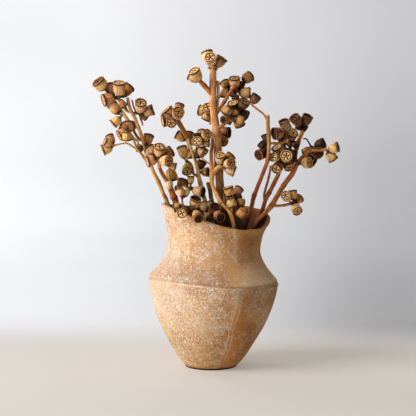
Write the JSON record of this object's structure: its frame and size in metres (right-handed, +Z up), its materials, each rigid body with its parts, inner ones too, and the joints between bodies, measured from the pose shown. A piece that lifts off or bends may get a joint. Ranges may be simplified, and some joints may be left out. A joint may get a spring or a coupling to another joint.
{
  "type": "vase of dried gum nuts",
  "caption": "Stoneware vase with a shoulder ridge and an uneven flared mouth, holding a loose bunch of dried gum nut branches with woody bell-shaped seed cups.",
  "frame": {"origin": "centre of the vase's flat foot", "axes": "+Z up along the vase's height, +X to the right and -Y towards the viewer as the bunch is seen in the picture"},
  "size_m": [0.3195, 0.1724, 0.4151],
  "materials": {
    "stoneware": "matte, speckled with fine pale fibres",
    "gum_nut": "dry, finely wrinkled",
    "bark_tan": "dry bark",
    "bark_green": "dry bark",
    "bark_red": "dry bark"
  },
  "bodies": {
    "root": {"branch_pale": "bark_green", "branch_right_top": "bark_red", "nuts_centre_left": "gum_nut", "nuts_centre_small": "gum_nut", "nuts_centre_top": "gum_nut", "nuts_crown": "gum_nut", "nuts_far_right": "gum_nut", "nuts_front": "gum_nut", "nuts_left_back": "gum_nut", "nuts_left_front": "gum_nut", "nuts_left_inner": "gum_nut", "nuts_left_low": "gum_nut", "nuts_left_mid": "gum_nut", "nuts_left_small": "gum_nut", "nuts_left_stem": "gum_nut", "nuts_left_top": "gum_nut", "nuts_low_right": "gum_nut", "nuts_mouth_centre": "gum_nut", "nuts_mouth_front": "gum_nut", "nuts_mouth_right": "gum_nut", "nuts_right_arch": "gum_nut", "nuts_right_back": "gum_nut", "nuts_right_crown": "gum_nut", "nuts_right_dark": "gum_nut", "nuts_right_discs": "gum_nut", "nuts_right_inner": "gum_nut", "nuts_right_outer_left": "gum_nut", "nuts_right_stem": "gum_nut", "nuts_right_tan": "gum_nut", "nuts_right_top": "gum_nut", "nuts_top_left": "gum_nut", "nuts_upper_left": "gum_nut", "stem_front": "bark_tan", "stem_green": "bark_green", "stem_left": "bark_tan", "stem_left_thick": "bark_red", "stem_low": "bark_red", "stem_main": "bark_tan", "stem_olive": "bark_green", "stem_right_back": "bark_red", "stem_right_front": "bark_red", "stem_right_red": "bark_red", "twig_bridge": "bark_red", "twig_right": "bark_red", "vase": "stoneware"}
  },
  "joints": []
}
